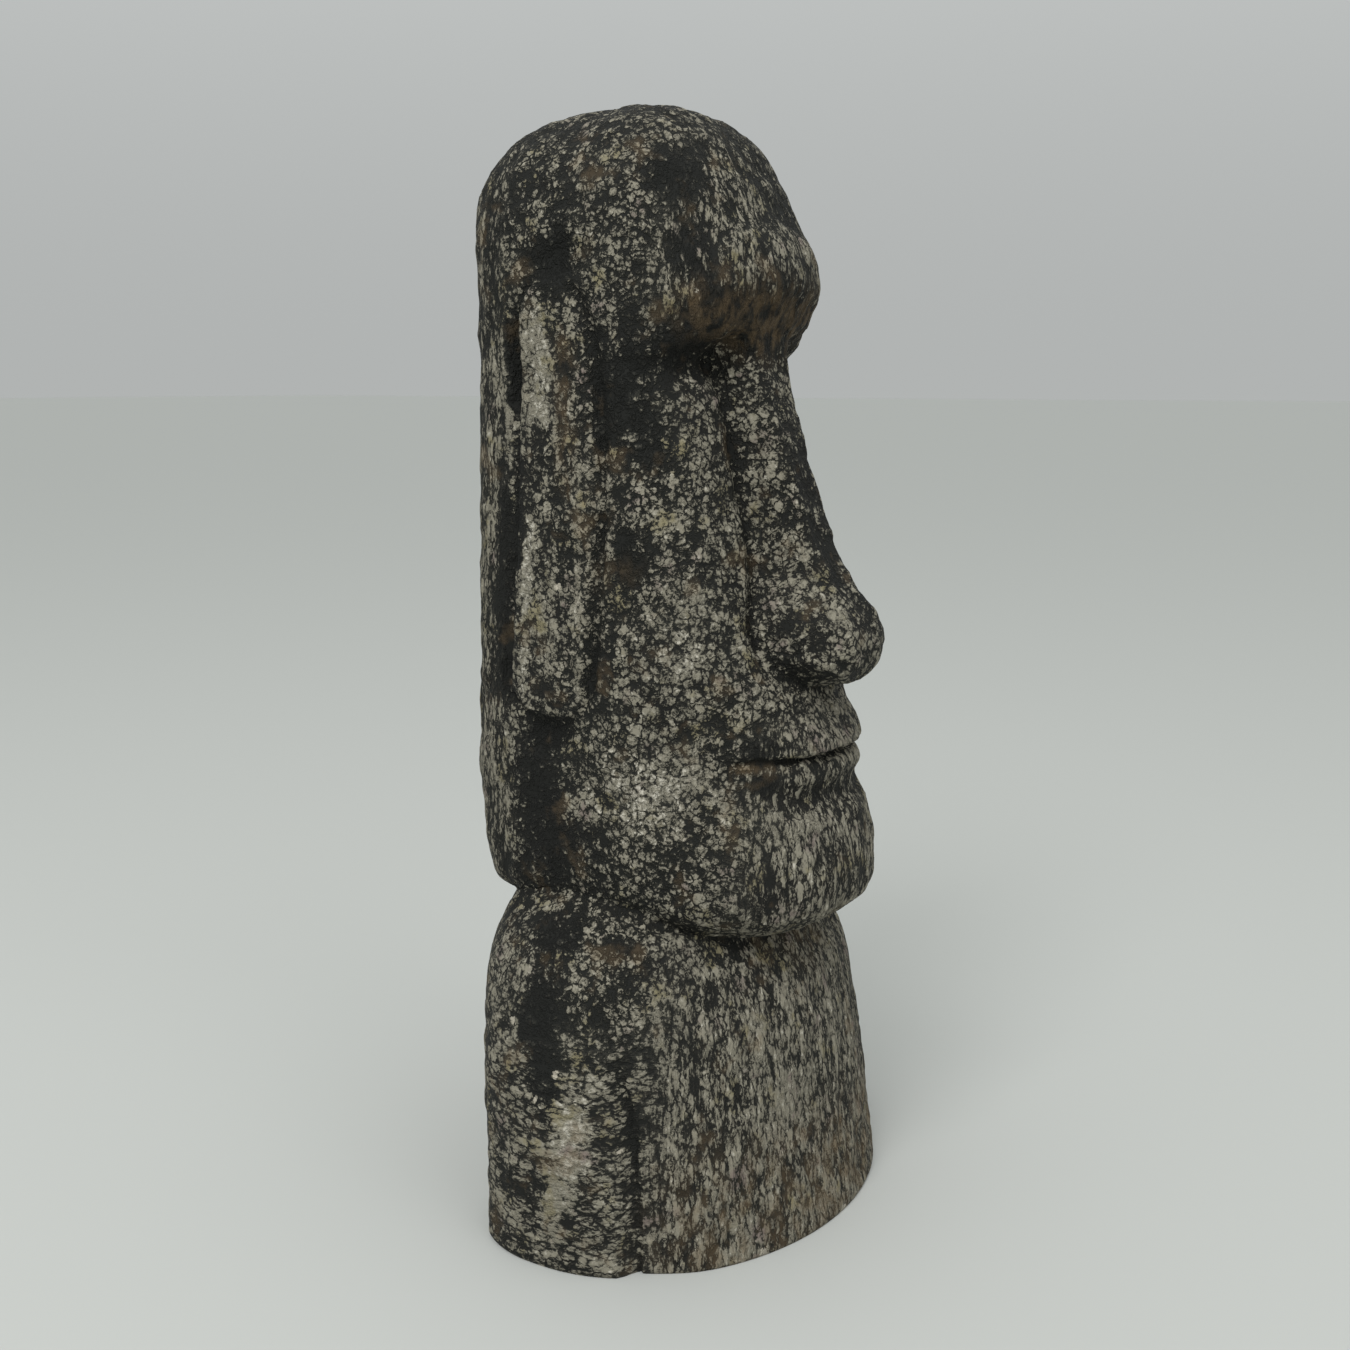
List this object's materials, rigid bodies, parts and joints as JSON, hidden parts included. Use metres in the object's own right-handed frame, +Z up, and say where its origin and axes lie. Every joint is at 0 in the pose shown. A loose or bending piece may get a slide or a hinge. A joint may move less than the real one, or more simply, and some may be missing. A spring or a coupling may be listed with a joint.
{
  "type": "moai head statue",
  "caption": "Freestanding moai statue: tall head with heavy brow, long nose and bar-shaped ears, on a short armed torso with a flat underside.",
  "frame": {"origin": "middle of the flat underside, under the centre of the outer box", "axes": "+Z up, the face looks along -Y, the statue's right side is on -X"},
  "size_m": [0.202, 0.1542, 0.436],
  "materials": {
    "painted_cast_stone": "matt charcoal paint, dry-brushed in pale grey-beige over a pitted chiselled relief"
  },
  "bodies": {
    "root": {"moai_casting": "painted_cast_stone"}
  },
  "joints": []
}
